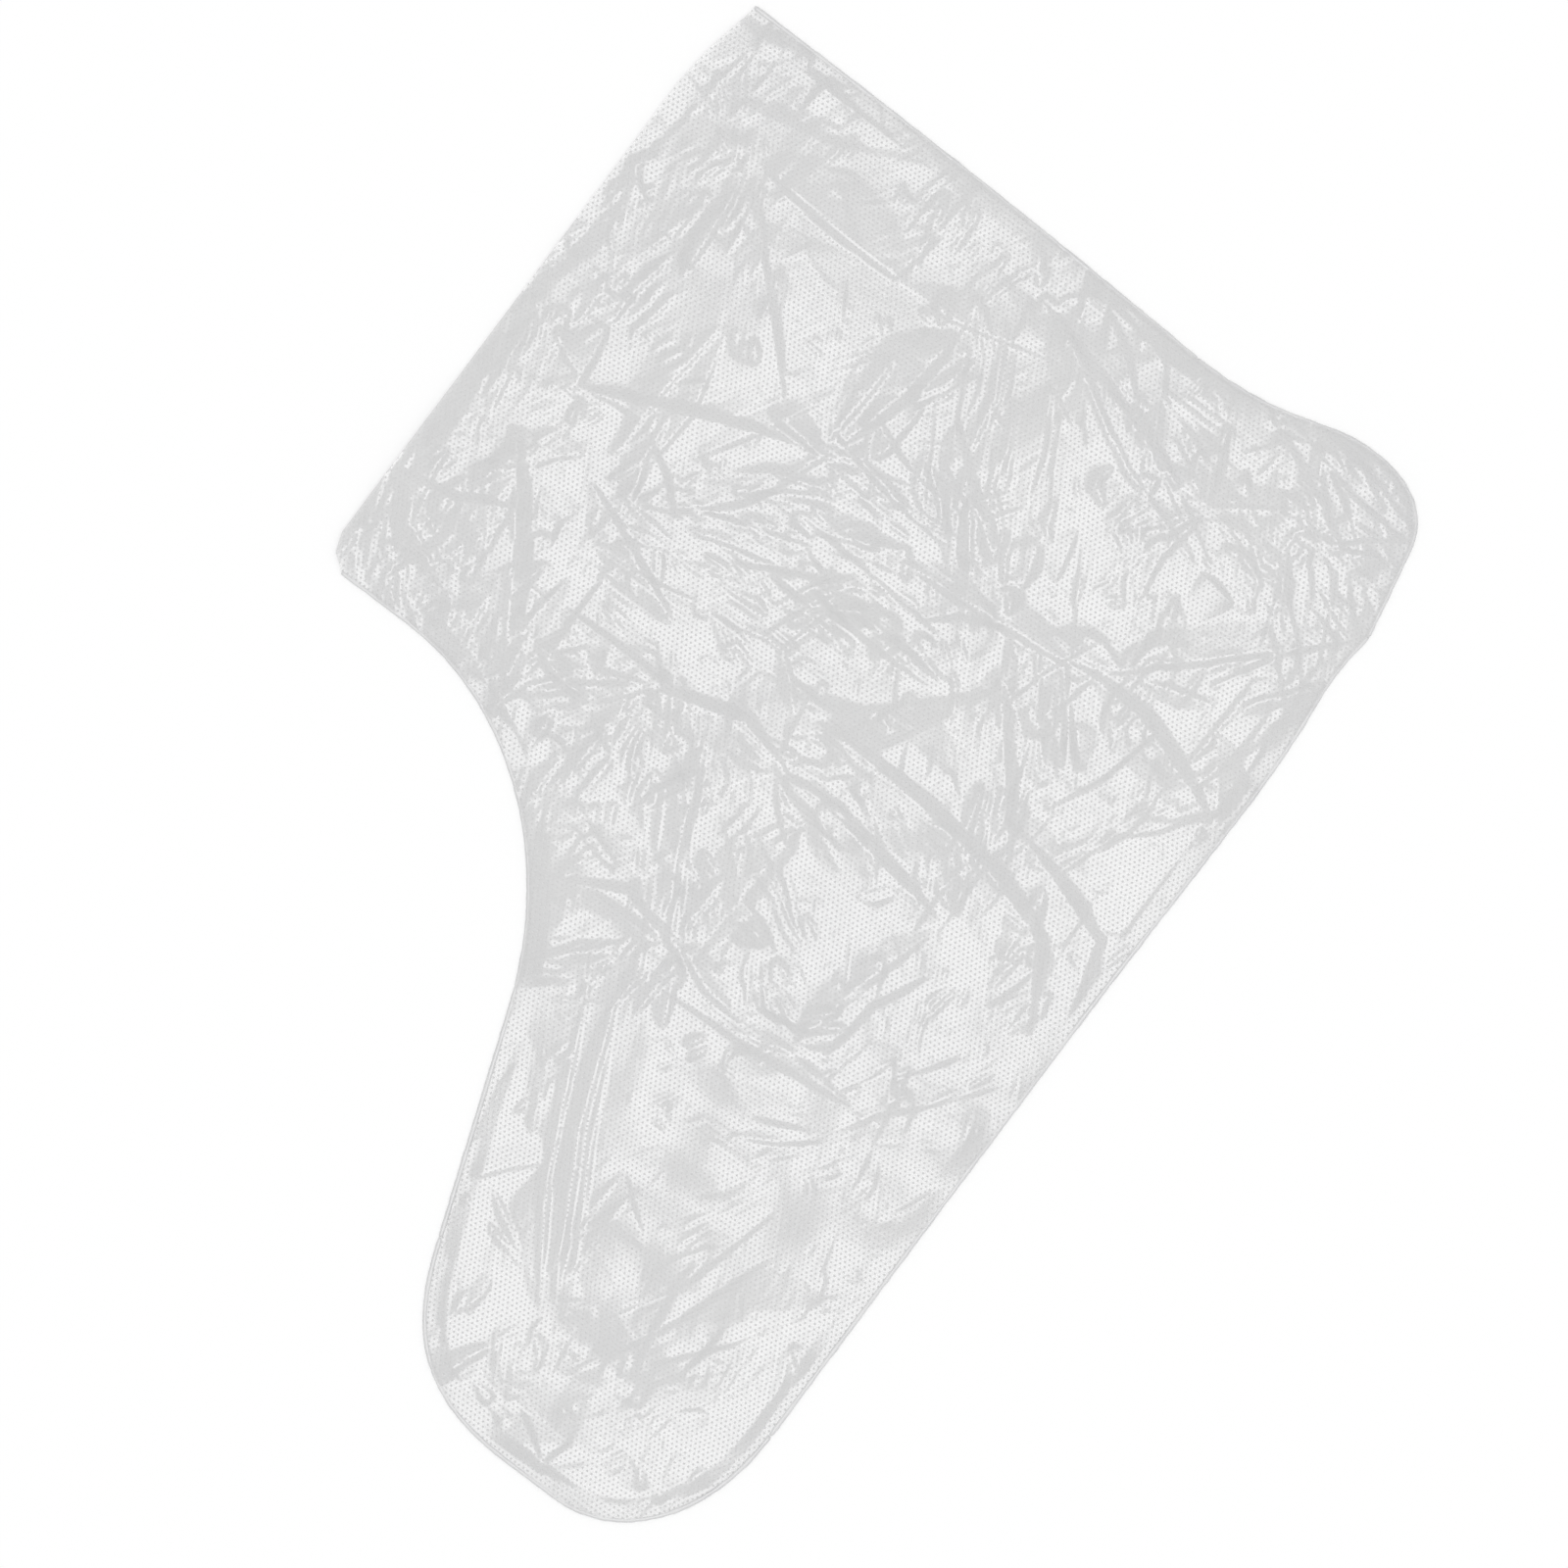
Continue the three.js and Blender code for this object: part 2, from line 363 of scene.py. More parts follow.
def smooth_noise(
    x: np.ndarray, y: np.ndarray, cell: float, draw: np.random.Generator
) -> np.ndarray:
    """Soft random swells from about -1 to 1.

    Args:
        x: places along X, in millimetres.
        y: places along Y.
        cell: the size of a swell.
        draw: where the random waves come from.

    Returns:
        The swells' heights.
    """
    total = np.zeros_like(x)
    waves = 9
    for _ in range(waves):
        turn, phase = draw.uniform(0, math.tau), draw.uniform(0, math.tau)
        pull = draw.uniform(0.6, 1.6)
        along = x * math.cos(turn) + y * math.sin(turn)
        total += np.cos(math.tau / (2 * cell) * pull * along + phase)
    return total * math.sqrt(2 / waves) * 0.6


class CrumpleField:
    """A height field on an even grid of places, to which creases and facets are added."""

    def __init__(self, low: np.ndarray, high: np.ndarray, pitch: float) -> None:
        """Lays the grid out.

        Args:
            low: the grid's lowest corner, in millimetres.
            high: its highest corner.
            pitch: how far apart its places are.
        """
        self.pitch = pitch
        self.low = low
        counts = np.ceil((high - low) / pitch).astype(int) + 1
        xs, ys = low[0] + pitch * np.arange(counts[0]), low[1] + pitch * np.arange(counts[1])
        self.x, self.y = np.meshgrid(xs, ys, indexing="ij")
        self.height = np.zeros_like(self.x)

    def window(self, points: np.ndarray, reach: float) -> tuple[slice, slice]:
        """The part of the grid within reach of some points.

        Args:
            points: rows of x and y.
            reach: how far round them the part goes.

        Returns:
            The part, as slices of the grid's rows and columns.
        """
        first = np.floor((points.min(axis=0) - reach - self.low) / self.pitch).astype(int)
        last = np.ceil((points.max(axis=0) + reach - self.low) / self.pitch).astype(int) + 1
        first = np.clip(first, 0, self.x.shape)
        last = np.clip(last, 0, self.x.shape)
        return slice(first[0], last[0]), slice(first[1], last[1])

    def add_crease(self, crease: Crease, strength: float = 1.0) -> None:
        """Adds one crease to the height.

        Args:
            crease: the crease.
            strength: how much of its rise to add.
        """
        path = np.array(crease.path, float)
        part = self.window(path, max(crease.steep, crease.gentle))
        x, y = self.x[part], self.y[part]
        if x.size == 0:
            return
        steps = np.diff(path, axis=0)
        lengths = np.hypot(*steps.T)
        total = lengths.sum()
        best = np.full(x.shape, np.inf)
        signed = np.zeros(x.shape)
        share = np.zeros(x.shape)
        walked = 0.0
        for start, step, length in zip(path, steps, lengths):
            dx, dy = x - start[0], y - start[1]
            t = (dx * step[0] + dy * step[1]) / length**2
            held = np.clip(t, 0.0, 1.0)
            gap = np.hypot(dx - held * step[0], dy - held * step[1])
            side = step[0] * dy - step[1] * dx
            closer = gap < best
            best = np.where(closer, gap, best)
            signed = np.where(closer, np.where(side >= 0, gap, -gap), signed)
            share = np.where(closer, (walked + held * length) / total, share)
            walked += length
        taper = np.maximum((4 * share * (1 - share)) ** crease.point, 1e-6)
        side = np.where(signed >= 0, signed / crease.gentle, -signed / crease.steep)
        profile = np.clip(taper - side, 0.0, 1.0)
        self.height[part] += strength * crease.rise * profile

    def softened(self, rounds: int) -> np.ndarray:
        """The height with its sharpest corners rounded by the film's own stiffness.

        Args:
            rounds: how many times the corners are rounded.

        Returns:
            The rounded height.
        """
        out = self.height
        for _ in range(rounds):
            wide = np.pad(out, 1, mode="edge")
            around = wide[:-2, 1:-1] + wide[2:, 1:-1] + wide[1:-1, :-2] + wide[1:-1, 2:]
            out = 0.5 * out + 0.125 * around
        return out


# The folds that the cover was packed with, and the longer crumples between them.
MAIN_CREASES = (
    Crease(((135, 85), (133, 60), (132, 36)), 0.77, 2.6, 14),
    Crease(((132, 36), (132, 22), (140, -8)), 0.35, 1.2, 9),
    Crease(((133, -51), (144, -11), (150, 7)), 0.80, 2.8, 16),
    Crease(((89, 25), (110, 20), (130, 18)), 1.01, 3.6, 14),
    Crease(((45, 60), (51, 49), (64, 36), (74, 31), (89, 25)), 0.55, 2.2, 9),
    Crease(((84, 30), (78, 47), (67, 73), (61, 88)), 0.85, 3.0, 13),
    Crease(((63, 66), (57, 55), (49, 47)), 0.47, 1.4, 9),
    Crease(((81, -33), (89, -25), (100, -8), (112, 5)), 1.01, 3.2, 10),
    Crease(((75, -6), (77, -29), (80, -61)), 0.69, 2.0, 8),
    Crease(((80, -61), (105, -86), (128, -110)), 0.62, 1.8, 9),
    Crease(((27, 31), (36, 53), (44, 71)), 0.69, 2.2, 8),
    Crease(((14, 24), (14, 57)), 0.47, 1.4, 8),
    Crease(((27, 81), (19, 96), (16, 113)), 0.69, 2.4, 9),
    Crease(((-9, 58), (18, 76), (43, 93)), 1.32, 5.0, 14),
    Crease(((10, 29), (-11, 55)), 0.55, 1.8, 10),
    Crease(((14, -14), (18, 2), (10, 29)), 1.01, 3.2, 10),
    Crease(((30, -73), (51, -56), (69, -41)), 0.94, 3.2, 12),
    Crease(((7, -68), (10, -47), (13, -30), (14, -14)), 1.01, 3.4, 12),
    Crease(((-3, -104), (18, -91), (24, -74), (28, -46), (30, -14)), 1.24, 4.2, 14),
    Crease(((-41, -23), (-13, -24), (6, -25)), 0.77, 4.5, 12),
    Crease(((-39, -15), (-19, -4), (8, 7)), 0.77, 2.4, 9),
    Crease(((-45, -7), (-67, 12)), 0.77, 3.0, 8),
    Crease(((-42, -24), (-35, 0), (-47, 25)), 0.69, 2.4, 7),
    Crease(((-130, -48), (-90, -26), (-56, -13)), 0.68, 2.0, 5),
    Crease(((-134, -46), (-105, -27), (-61, -7)), 0.40, 1.2, 3),
    Crease(((-125, -50), (-92, -31), (-68, -20)), 0.34, 1.2, 3),
    Crease(((-44, -88), (-49, -48), (-50, -17)), 0.39, 1.8, 16),
    Crease(((-44, -79), (-42, -49)), 0.23, 1.2, 10),
    Crease(((-127, -35), (-120, -7)), 0.47, 1.6, 8),
    Crease(((-125, -33), (-114, -15)), 0.39, 1.4, 6),
    Crease(((-149, -35), (-128, -29)), 0.47, 2.0, 8),
    Crease(((-138, -62), (-124, -56)), 0.31, 3.0, 12),
    Crease(((-139, -81), (-127, -77)), 0.31, 3.0, 12),
    Crease(((69, -109), (79, -80), (81, -57)), 0.94, 4.0, 10),
    Crease(((88, -96), (70, -110)), 0.62, 3.6, 8),
    Crease(((7, -109), (27, -103), (37, -74)), 0.94, 4.0, 10),
    Crease(((88, -34), (101, -30)), 0.69, 3.4, 8),
    Crease(((129, 40), (148, 37), (164, 36)), 0.39, 1.6, 9),
    Crease(((111, 65), (128, 80)), 0.31, 1.2, 8),
    Crease(((88, 42), (104, 58), (118, 72)), 0.55, 2.6, 12),
    Crease(((87, 1), (90, 22)), 0.39, 1.2, 6),
    Crease(((88, -8), (99, 6)), 0.39, 1.2, 6),
    Crease(((61, 3), (47, 32)), 0.47, 1.4, 7),
    Crease(((64, 15), (53, 47)), 0.47, 1.4, 7),
    Crease(((56, -32), (58, -2)), 0.55, 1.8, 8),
    Crease(((2, 90), (8, 100), (18, 111)), 0.81, 4.0, 8),
    Crease(((-5, 98), (10, 94), (26, 97)), 0.72, 3.5, 7),
    Crease(((54, -5), (63, 17)), 0.47, 1.5, 7),
)


@dataclass(frozen=True)
class Grain:
    """The way that the fine wrinkles run in one part of the cover, and how thick they lie.

    Attributes:
        centre: the middle of that part, in millimetres.
        heading: the wrinkles' direction, in degrees.
        weight: how many there are, next to the other parts.
    """

    centre: tuple[float, float]
    heading: float
    weight: float


# The grain of the fine wrinkles, part by part.
GRAINS = (
    Grain((-110, -97), 170, 1.0),
    Grain((-28, -38), 60, 1.5),
    Grain((0, -78), 20, 1.2),
    Grain((122, -12), 30, 0.2),
    Grain((40, -35), 60, 0.7),
    Grain((-140, -40), 5, 1.0),
    Grain((-115, -25), 25, 0.5),
    Grain((-110, -65), 0, 0.3),
    Grain((-80, -75), 0, 0.3),
    Grain((-75, -40), 150, 0.35),
    Grain((-70, -12), 15, 0.4),
    Grain((-50, 5), 155, 1.6),
    Grain((-50, -70), 115, 0.5),
    Grain((-45, -95), 160, 0.6),
    Grain((-10, 10), 15, 1.8),
    Grain((-10, -65), 175, 0.5),
    Grain((-5, 90), 15, 2.8),
    Grain((15, 70), 165, 2.2),
    Grain((20, 38), 90, 1.6),
    Grain((30, -20), 80, 1.8),
    Grain((10, -95), 170, 0.8),
    Grain((45, -85), 10, 1.4),
    Grain((50, -50), 25, 1.5),
    Grain((55, 25), 105, 2.2),
    Grain((60, 0), 100, 2.4),
    Grain((85, 5), 85, 1.9),
    Grain((80, 50), 170, 0.8),
    Grain((95, -75), 165, 1.6),
    Grain((110, -50), 10, 1.2),
    Grain((110, 20), 0, 0.6),
    Grain((115, 60), 30, 0.4),
    Grain((70, 85), 0, 1.0),
    Grain((130, 95), 12, 1.4),
    Grain((135, -30), 45, 1.3),
    Grain((142, -85), 60, 3.2),
    Grain((150, 40), 170, 0.9),
    Grain((-130, -95), 160, 0.8),
)
# How far the grain of one part reaches into the next, in millimetres.
GRAIN_BLUR = 10.0


def grain_at(place: np.ndarray) -> tuple[float, float]:
    """The grain at a place, blended from the parts round it.

    Args:
        place: where, as x and y in millimetres.

    Returns:
        The wrinkles' direction there, in radians, and how thick they lie.
    """
    centres = np.array([grain.centre for grain in GRAINS], float)
    share = 1 / (((centres - place) ** 2).sum(axis=1) + GRAIN_BLUR**2) ** 1.5
    share /= share.sum()
    doubled = np.radians([2 * grain.heading for grain in GRAINS])
    heading = 0.5 * math.atan2(share @ np.sin(doubled), share @ np.cos(doubled))
    return heading, float(share @ np.array([grain.weight for grain in GRAINS]))


@dataclass(frozen=True)
class Wrinkles:
    """One size of wrinkle, strewn over the film along its grain in sets that lie side by side.

    Attributes:
        sets: how many sets there are.
        length: how long a wrinkle is, about, in millimetres.
        steep: how wide its steep side is, about.
        slope: how steep that is, as rise over run.
        gentle: how much wider the gentle side is.
        spread: how far a set strays from the grain, in degrees.
        most: the most wrinkles in a set.
        even: how evenly they are strewn, from 0 for thick where the grain is to 1 for everywhere.
        thickest: the weight of grain at which no place is passed over.
        flipped: the share of sets whose steep side faces against the others'.
    """

    sets: int
    length: float
    steep: float
    slope: float
    gentle: float
    spread: float
    most: int = 1
    even: float = 0.0
    thickest: ClassVar[float] = 2.2
    flipped: ClassVar[float] = 0.18

    def creases(self, outline: Outline, draw: np.random.Generator) -> list[Crease]:
        """Draws the wrinkles.

        Args:
            outline: the cover's outline, whose box they are strewn over.
            draw: where the random places and sizes come from.

        Returns:
            The wrinkles, as creases.
        """
        ring = np.vstack([outline.welded(), outline.mouth])
        low, high = ring.min(axis=0), ring.max(axis=0)
        made = []
        done = 0
        while done < self.sets:
            place = draw.uniform(low, high)
            heading, weight = grain_at(place)
            if draw.uniform(0, self.thickest) > weight + self.even * (self.thickest - weight):
                continue
            turn = heading + math.radians(draw.normal(0, self.spread))
            turn += math.pi * (draw.random() < self.flipped)
            made += self.side_by_side(place, turn, draw)
            done += 1
        return made

    def side_by_side(
        self, place: np.ndarray, turn: float, draw: np.random.Generator
    ) -> list[Crease]:
        """Draws one set of wrinkles.

        Args:
            place: where the first of them lies, in millimetres.
            turn: the way they run, in radians.
            draw: where their sizes come from.

        Returns:
            The set, as creases.
        """
        made = []
        steep = self.steep * draw.lognormal(0, 0.25)
        gentle = steep * self.gentle * draw.uniform(0.6, 1.5)
        length = self.length * draw.lognormal(0, 0.4)
        fan = draw.normal(0, 0.10)
        for _ in range(draw.integers(1, self.most + 1)):
            half = length * draw.uniform(0.6, 1.3) / 2
            along = np.array([math.cos(turn), math.sin(turn)])
            across = np.array([-along[1], along[0]])
            bow = across * half * draw.normal(0, 0.07)
            rise = self.slope * steep * draw.uniform(0.6, 1.3)
            path = tuple(map(tuple, (place - along * half, place + bow, place + along * half)))
            made.append(Crease(path, rise, steep, gentle))
            apart = steep + gentle * draw.uniform(0.6, 1.1)
            place = place + across * apart + along * draw.normal(0, 0.2) * half
            turn += fan
        return made


@dataclass(frozen=True)
class Knot:
    """A point where the film was pinched, with folds that fan out from it along the grain.

    Attributes:
        centre: the point, in millimetres.
        reach: how far the folds run out, about.
        folds: how many there are.
        spread: how far they stray from the grain, in radians.
    """

    centre: tuple[float, float]
    reach: float
    folds: int
    spread: ClassVar[float] = 0.75

    def creases(self, draw: np.random.Generator) -> list[Crease]:
        """Draws the folds.

        Args:
            draw: where the random directions and sizes come from.

        Returns:
            The folds, as creases.
        """
        made = []
        heading, _ = grain_at(np.array(self.centre))
        for fold in range(self.folds):
            turn = heading + math.pi * fold + draw.normal(0, self.spread)
            out = np.array([math.cos(turn), math.sin(turn)])
            reach = self.reach * draw.uniform(0.4, 1.25)
            bend = np.array([-out[1], out[0]]) * reach * draw.normal(0, 0.06)
            start = np.array(self.centre) + out * draw.uniform(0.5, 3.0)
            path = [start, start + out * reach / 2 + bend, start + out * reach]
            if draw.random() < 0.5:
                path.reverse()
            steep = draw.uniform(0.8, 2.0)
            rise = steep * draw.uniform(0.16, 0.32)
            gentle = steep * draw.uniform(2.5, 5.0)
            made.append(Crease(tuple(map(tuple, path)), rise, steep, gentle))
        return made


# The points where the film was pinched as it was packed.
KNOTS = (
    Knot((-24, -38), 16, 5),
    Knot((35, 87), 20, 7),
    Knot((62, 85), 14, 4),
    Knot((84, 26), 18, 6),
    Knot((12, -12), 20, 7),
    Knot((78, -37), 18, 6),
    Knot((86, -69), 18, 8),
    Knot((-37, -17), 22, 8),
    Knot((-2, 37), 18, 5),
    Knot((18, -90), 16, 5),
    Knot((28, -62), 14, 5),
    Knot((132, -60), 24, 11),
    Knot((142, -88), 18, 9),
    Knot((-39, -86), 10, 3),
    Knot((-131, -47), 11, 3),
    Knot((128, 22), 12, 4),
    Knot((151, 8), 12, 4),
    Knot((52, 4), 16, 7),
    Knot((62, -18), 14, 6),
    Knot((100, 60), 14, 3),
    Knot((5, 70), 16, 6),
)


@dataclass(frozen=True)
class Swell:
    """A broad place where the near film stands up off the far one.

    Attributes:
        centre: its middle, in millimetres.
        radius: how far it reaches.
        rise: how high it stands.
    """

    centre: tuple[float, float]
    radius: float
    rise: float

    def heights(self, x: np.ndarray, y: np.ndarray) -> np.ndarray:
        """The swell's height at the given places.

        Args:
            x: the places along X, in millimetres.
            y: the places along Y.

        Returns:
            The height at each, in millimetres.
        """
        reach = ((x - self.centre[0]) ** 2 + (y - self.centre[1]) ** 2) / self.radius**2
        return self.rise * np.clip(1 - reach**2, 0.0, 1.0) ** 2


# What the two films are crumpled with, from the broadest to the finest.
NEAR_SWELLS = (
    Swell((112, -72), 70, 1.7),
    Swell((58, 48), 80, 0.5),
    Swell((-78, -55), 62, 0.8),
    Swell((10, -45), 60, 1.0),
)
NEAR_WRINKLES = (
    Wrinkles(170, 26, 1.2, 0.28, 5.0, 20, 2),
    Wrinkles(380, 12, 0.85, 0.28, 2.6, 26, 3),
    Wrinkles(1500, 5.0, 0.55, 0.26, 2.2, 40, 2),
    Wrinkles(550, 10, 0.7, 0.09, 2.0, 30, 4, 0.8),
)
FAR_WRINKLES = (
    Wrinkles(200, 18, 1.8, 0.16, 4.0, 60),
    Wrinkles(300, 10, 1.4, 0.14, 3.0, 60, 3),
)
NEAR_FACETS = (
    Facets(36, 0.50, 15, 1.5),
    Facets(17, 0.24, 100, 1.7),
    Facets(8, 0.08, 20, 1.8),
)
FAR_FACETS = (Facets(30, 0.35, -30, 1.5), Facets(12, 0.14, 40, 1.7))


# ---------------------------------------------------------------------------------------------
# Finishes
# ---------------------------------------------------------------------------------------------


class Nodes:
    """A small helper that adds and joins a material's nodes."""

    def __init__(self, name: str) -> None:
        """Starts a material with an empty node tree.

        Args:
            name: the material's name.
        """
        self.material = bpy.data.materials.new(name)
        self.material.use_nodes = True
        self.tree = self.material.node_tree
        self.tree.nodes.clear()

    def add(
        self, kind: str, inputs: dict[str | int, object] | None = None, **settings: str | bool
    ) -> bpy.types.Node:
        """Adds a node.

        Args:
            kind: the node's type.
            inputs: what each input is set to, a value or another node's output.
            **settings: the node's own settings.

        Returns:
            The node.
        """
        node = self.tree.nodes.new(kind)
        for key, value in settings.items():
            setattr(node, key, value)
        for key, value in (inputs or {}).items():
            if isinstance(value, Socket):
                self.tree.links.new(value, node.inputs[key])
            else:
                node.inputs[key].default_value = value
        return node

    def math(
        self,
        operation: str,
        first: Given,
        second: Given | None = None,
        third: Given | None = None,
        clamp: bool = False,
    ) -> Socket:
        """Adds a maths node.

        Args:
            operation: the sum that it does.
            first: its first input, a number or another node's output.
            second: its second input, if it takes one.
            third: its third input, if it takes one.
            clamp: whether the result is kept from 0 to 1.

        Returns:
            The result.
        """
        given = {i: v for i, v in enumerate((first, second, third)) if v is not None}
        return self.add("ShaderNodeMath", given, operation=operation, use_clamp=clamp).outputs[0]

    def ranged(
        self, value: Socket, low: float, high: float, to_low: float, to_high: float
    ) -> Socket:
        """Maps a value from one range to another, smoothly and without passing its ends.

        Args:
            value: the output to map.
            low: where its range starts.
            high: where its range ends.
            to_low: what low becomes.
            to_high: what high becomes.

        Returns:
            The mapped value.
        """
        ends = {"From Min": low, "From Max": high, "To Min": to_low, "To Max": to_high}
        node = self.add(
            "ShaderNodeMapRange", {"Value": value, **ends}, interpolation_type="SMOOTHSTEP"
        )
        return node.outputs["Result"]

    def noise(
        self, vector: Socket, scale: float, detail: float, roughness: float = 0.5
    ) -> Socket:
        """Adds a noise pattern.

        Args:
            vector: the places it is read at.
            scale: how many swells there are to a metre.
            detail: how many finer patterns are added.
            roughness: how strong the finer ones are.

        Returns:
            The pattern's value.
        """
        node = self.add(
            "ShaderNodeTexNoise",
            {"Vector": vector, "Scale": scale, "Detail": detail, "Roughness": roughness},
        )
        return node.outputs[0]

    def tinted(
        self, value: Socket, stops: tuple[float, float], low: Colour, high: Colour
    ) -> Socket:
        """Turns a value into a colour between two.

        Args:
            value: the output that picks the colour.
            stops: the values at which the two colours are reached.
            low: the colour at the first.
            high: the colour at the second.

        Returns:
            The colour.
        """
        node = self.add("ShaderNodeValToRGB", {"Fac": value})
        for element, stop, colour in zip(node.color_ramp.elements, stops, (low, high)):
            element.position = stop
            element.color = (*colour, 1.0)
        return node.outputs["Color"]

    def plastic(
        self, colour: Socket, rough: Socket, normal: Socket, cover: float
    ) -> bpy.types.Material:
        """Ends the material in clear milky plastic.

        Args:
            colour: the output that gives its colour.
            rough: the output that gives its roughness.
            normal: the output that gives its surface's lean.
            cover: how much of what lies behind it the plastic hides.

        Returns:
            The finished material.
        """
        shader = self.add(
            "ShaderNodeBsdfPrincipled",
            {"Base Color": colour, "Roughness": rough, "Normal": normal},
        )
        shader.inputs["IOR"].default_value = PLASTIC_IOR
        shader.inputs["Alpha"].default_value = cover
        self.add("ShaderNodeOutputMaterial", {"Surface": shader.outputs[0]})
        return self.material


@dataclass(frozen=True)
class FilmFinish:
    """Thin milky polyethylene film, embossed all over with a fine pattern of dimples.

    Attributes:
        name: the material's name.
        milk: how bright the film's own body is.
        cover: how much of what lies behind it the film hides.
        dimple_pitch: how far apart the dimples are, in metres.
        dimple_depth: how deep they are pressed, in metres.
        dimple_reach: how wide they are, from 0 to 2.
        gloss: the roughness of the smooth ground between them.
        dulling: how much rougher the dimples themselves are.
        wander: how far the rows of dimples wander, in metres.
        wander_scale: how many bends there are in them to a metre.
        crepe: how deep the film's fine creping is, as a share of a dimple.
        crepe_scale: how many of its grains there are to a metre.
        cloud_scale: how many milky clouds there are to a metre.
    """

    name: str
    milk: float = 0.785
    cover: float = 0.62
    dimple_pitch: float = 1.335 * MM
    dimple_depth: float = 0.092 * MM
    dimple_reach: float = 1.28
    gloss: float = 0.20
    dulling: float = 0.12
    wander: float = 0.0012
    wander_scale: float = 90.0
    crepe: float = 0.5
    crepe_scale: float = 900.0
    cloud_scale: float = 26.0

    def dimples(self, nodes: Nodes, place: Socket) -> Socket:
        """The emboss: a six-sided array of round dimples, with rows running up the leg.

        Args:
            nodes: the material that it is added to.
            place: the place on the film.

        Returns:
            The film's height there, from 0 in a dimple's middle to 1 on the ground between.
        """
        wave = math.tau / (self.dimple_pitch * math.sqrt(3) / 2)
        total = None
        for angle in (0.0, 60.0, 120.0):
            turn = math.radians(angle)
            pull = (wave * math.cos(turn), wave * math.sin(turn), 0.0)
            dot = nodes.add("ShaderNodeVectorMath", {0: place, 1: pull}, operation="DOT_PRODUCT")
            ridge = nodes.math("COSINE", dot.outputs["Value"])
            total = ridge if total is None else nodes.math("ADD", total, ridge)
        away = nodes.math("SQRT", nodes.math("SUBTRACT", 3.0, total))
        return nodes.math("MULTIPLY", away, 1 / self.dimple_reach, clamp=True)

    def material(self) -> bpy.types.Material:
        """Builds the film's material.

        Returns:
            The material.
        """
        nodes = Nodes(self.name)
        place = nodes.add("ShaderNodeTexCoord").outputs["Object"]
        bends = nodes.add(
            "ShaderNodeTexNoise", {"Vector": place, "Scale": self.wander_scale, "Detail": 2.0}
        ).outputs["Color"]
        reach = (self.wander, self.wander, 0.0)
        drift = nodes.add(
            "ShaderNodeVectorMath", {0: bends, 1: reach}, operation="MULTIPLY"
        ).outputs[0]
        bent = nodes.add("ShaderNodeVectorMath", {0: place, 1: drift}, operation="ADD").outputs[0]
        dimples = self.dimples(nodes, bent)
        creping = nodes.noise(place, self.crepe_scale, 3.0, 0.6)
        clouds = nodes.noise(place, self.cloud_scale, 4.0, 0.55)
        relief = nodes.math("MULTIPLY_ADD", creping, self.crepe, dimples)
        bump = nodes.add(
            "ShaderNodeBump", {"Strength": 1.0, "Distance": self.dimple_depth, "Height": relief}
        )
        dull = (self.milk * 0.985, self.milk * 0.985, self.milk * 0.99)
        bright = (self.milk * 1.015, self.milk * 1.015, self.milk * 1.015)
        milk = nodes.tinted(clouds, (0.3, 0.7), dull, bright)
        rough = nodes.ranged(dimples, 0.0, 1.0, self.gloss + self.dulling, self.gloss)
        return nodes.plastic(milk, rough, bump.outputs["Normal"], self.cover)


@dataclass(frozen=True)
class WeldFinish:
    """Film melted into a clear, slightly rippled bead.

    Attributes:
        name: the material's name.
        milk: how bright the bead's own body is.
        cover: how much of what lies behind it the bead hides.
        ripple_depth: how deep its ripples are, in metres.
        ripple_scale: how many ripples there are to a metre.
        tone_scale: how many cloudy places there are to a metre.
        gloss: its roughness, from where it is glossiest to where it is dullest.
    """

    name: str = "weld_bead"
    milk: float = 0.78
    cover: float = 0.75
    ripple_depth: float = 0.1 * MM
    ripple_scale: float = 700.0
    tone_scale: float = 120.0
    gloss: tuple[float, float] = (0.22, 0.36)

    def material(self) -> bpy.types.Material:
        """Builds the bead's material.

        Returns:
            The material.
        """
        nodes = Nodes(self.name)
        place = nodes.add("ShaderNodeTexCoord").outputs["Object"]
        ripple = nodes.noise(place, self.ripple_scale, 2.0)
        tone = nodes.noise(place, self.tone_scale, 3.0)
        bump = nodes.add(
            "ShaderNodeBump", {"Strength": 0.6, "Distance": self.ripple_depth, "Height": ripple}
        )
        dull = (self.milk * 0.93, self.milk * 0.93, self.milk * 0.94)
        bright = (self.milk * 1.06, self.milk * 1.06, self.milk * 1.06)
        milk = nodes.tinted(tone, (0.3, 0.75), dull, bright)
        rough = nodes.ranged(tone, 0.3, 0.7, *self.gloss)
        return nodes.plastic(milk, rough, bump.outputs["Normal"], self.cover)


@dataclass(frozen=True)
class FloorFinish:
    """Plain white paper, smooth and matt.

    Attributes:
        name: the material's name.
        white: how bright it is.
        roughness: how matt it is.
    """

    name: str = "studio_floor"
    white: float = 0.95
    roughness: float = 0.9

    def material(self) -> bpy.types.Material:
        """Builds the floor's material.

        Returns:
            The material.
        """
        nodes = Nodes(self.name)
        shader = nodes.add("ShaderNodeBsdfPrincipled")
        shader.inputs["Base Color"].default_value = (self.white, self.white, self.white, 1.0)
        shader.inputs["Roughness"].default_value = self.roughness
        shader.inputs["Specular IOR Level"].default_value = 0.0
        nodes.add("ShaderNodeOutputMaterial", {"Surface": shader.outputs[0]})
        return nodes.material


# ---------------------------------------------------------------------------------------------
# Meshes
# ---------------------------------------------------------------------------------------------


